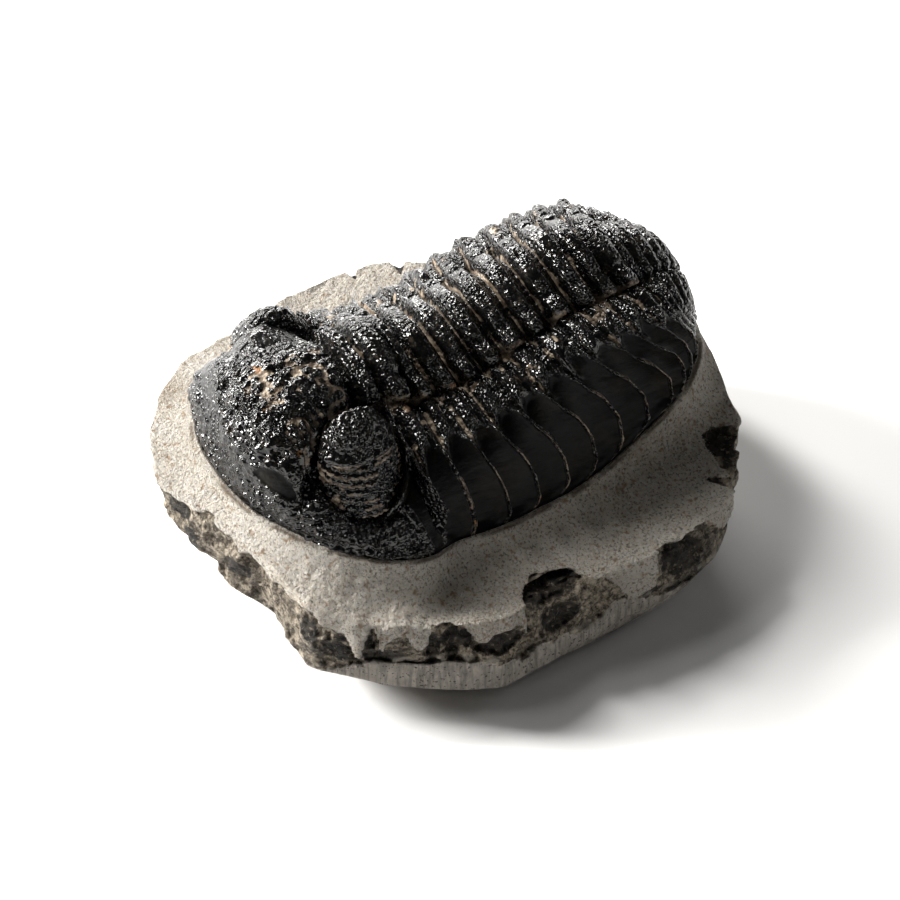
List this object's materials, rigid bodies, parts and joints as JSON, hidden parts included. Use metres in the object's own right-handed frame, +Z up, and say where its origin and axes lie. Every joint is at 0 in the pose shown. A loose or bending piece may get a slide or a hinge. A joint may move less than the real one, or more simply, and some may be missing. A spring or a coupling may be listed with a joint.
{
  "type": "trilobite fossil on limestone",
  "caption": "Black arched phacopid trilobite with large compound eyes, prepared free on a rounded slab of pale limestone that rests on its flat base.",
  "frame": {"origin": "middle of the footprint, on the surface that the slab rests on", "axes": "+Z up; the trilobite's head is toward -Y and its tail toward +Y"},
  "size_m": [0.0642, 0.0746, 0.04],
  "materials": {
    "shell": "glossy black calcite shell with brown stone in its furrows",
    "limestone": "matt pale limestone, finely tooled on top, dark broken rock at the rim"
  },
  "bodies": {
    "root": {"trilobite": "shell", "matrix": "limestone"}
  },
  "joints": []
}
